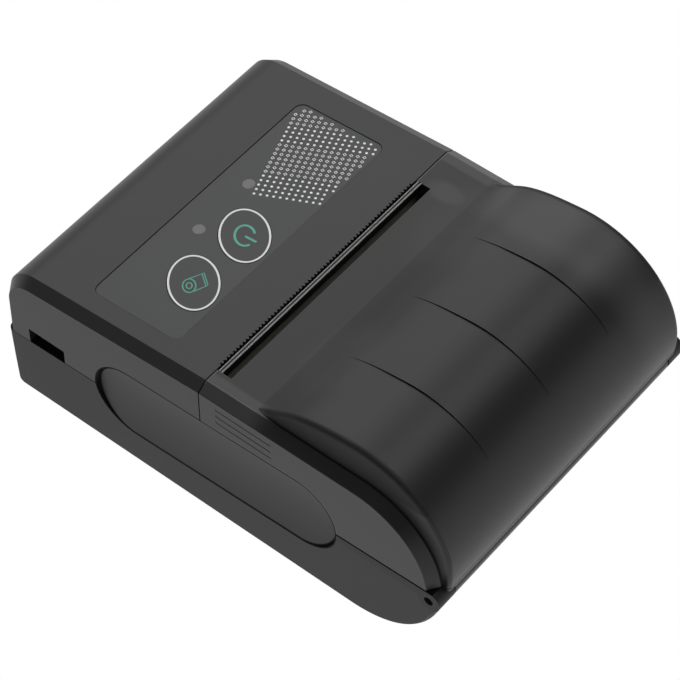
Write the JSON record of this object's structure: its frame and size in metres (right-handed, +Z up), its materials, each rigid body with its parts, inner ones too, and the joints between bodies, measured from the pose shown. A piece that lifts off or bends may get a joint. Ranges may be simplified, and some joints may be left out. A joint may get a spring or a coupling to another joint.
{
  "type": "portable receipt printer",
  "caption": "Pocket thermal receipt printer with a hinged smoky paper cover, two oval keys, two lamps and a geared rubber platen roller.",
  "frame": {"origin": "middle of the box that holds the printer at rest, at its underside", "axes": "+X from the control end to the hinge end, +Y across to the gear side, +Z up"},
  "size_m": [0.1056, 0.076, 0.0452],
  "materials": {
    "shell_black": "fine matte black",
    "grip_black": "satin dark grey",
    "panel_grey": "satin printed film",
    "cover_smoke": "smoky translucent satin",
    "lip_gloss": "gloss",
    "key_dark": "satin",
    "window_clear": "frosted clear",
    "steel": "brushed",
    "aluminium": "satin",
    "roller_rubber": "ground rubber",
    "gear_white": "moulded white",
    "board_green": "solder mask",
    "chip_black": "moulded",
    "ceramic": "glazed",
    "bronze": "sintered",
    "battery_wrap": "shrink film",
    "cable_tan": "film",
    "bin_black": "matte"
  },
  "bodies": {
    "housing": {"battery_contacts": "bronze", "battery_pack": "battery_wrap", "board_chips": "chip_black", "bottom_shell": "shell_black", "charging_socket": "steel", "control_overlay": "panel_grey", "feed_motor": "steel", "foot_screw_set": "steel", "frame_screws": "steel", "gear_posts": "steel", "head_cable": "cable_tan", "head_heat_sink": "aluminium", "hinge_pin_left": "steel", "hinge_pin_right": "steel", "key_board": "board_green", "key_switches": "chip_black", "lamps": "window_clear", "link_light": "window_clear", "main_board": "board_green", "mechanism_frame": "steel", "paper_bin": "bin_black", "power_light": "window_clear", "radio_module": "aluminium", "side_grip_left": "grip_black", "side_grip_right": "grip_black", "thermal_head": "ceramic", "top_shell": "shell_black"},
    "cover": {"paper_cover": "cover_smoke", "paper_lip": "lip_gloss", "roller_carrier": "bin_black", "platen_bushes": "bronze"},
    "platen": {"platen_shaft": "steel", "platen_rubber": "roller_rubber", "platen_gear": "gear_white"},
    "idler": {"idler_gear": "gear_white"},
    "reduction": {"reduction_gear": "gear_white"},
    "motor_rotor": {"motor_shaft": "steel", "motor_pinion": "gear_white"},
    "feed_button": {"feed_key": "key_dark"},
    "power_button": {"power_key": "key_dark"},
    "battery_hatch": {"battery_door": "shell_black"}
  },
  "joints": [
    {"name": "cover_hinge", "type": "hinge", "parent": "housing", "child": "cover", "pos_m": [0.05005, 0, 0.0183], "axis": [0, 1, 0], "range_deg": [0, 75]},
    {"name": "platen_spin", "type": "hinge", "parent": "cover", "child": "platen", "pos_m": [0.00115, 0, 0.0312], "axis": [0, 1, 0], "continuous": true},
    {"name": "idler_spin", "type": "hinge", "parent": "housing", "child": "idler", "pos_m": [-0.00185, 0, 0.02166], "axis": [0, 1, 0], "continuous": true},
    {"name": "reduction_spin", "type": "hinge", "parent": "housing", "child": "reduction", "pos_m": [0.00701, 0, 0.0201], "axis": [0, 1, 0], "continuous": true},
    {"name": "motor_spin", "type": "hinge", "parent": "housing", "child": "motor_rotor", "pos_m": [-0.0005, 0, 0.0135], "axis": [0, 1, 0], "continuous": true},
    {"name": "feed_press", "type": "slide", "parent": "housing", "child": "feed_button", "axis": [0.0698, 0, -0.9976], "range_m": [0, 0.0004], "stiffness_N_per_m": 600, "springref_m": -0.0003},
    {"name": "power_press", "type": "slide", "parent": "housing", "child": "power_button", "axis": [0.0698, 0, -0.9976], "range_m": [0, 0.0004], "stiffness_N_per_m": 600, "springref_m": -0.0003},
    {"name": "hatch_hinge", "type": "hinge", "parent": "housing", "child": "battery_hatch", "pos_m": [-0.0115, 0, 0.00075], "axis": [0, -1, 0], "range_deg": [0, 35]}
  ],
  "couplings": [
    {"joint": "idler_spin", "follows": "platen_spin", "ratio": -0.66667},
    {"joint": "reduction_spin", "follows": "platen_spin", "ratio": 1.3333},
    {"joint": "motor_spin", "follows": "platen_spin", "ratio": -4}
  ]
}
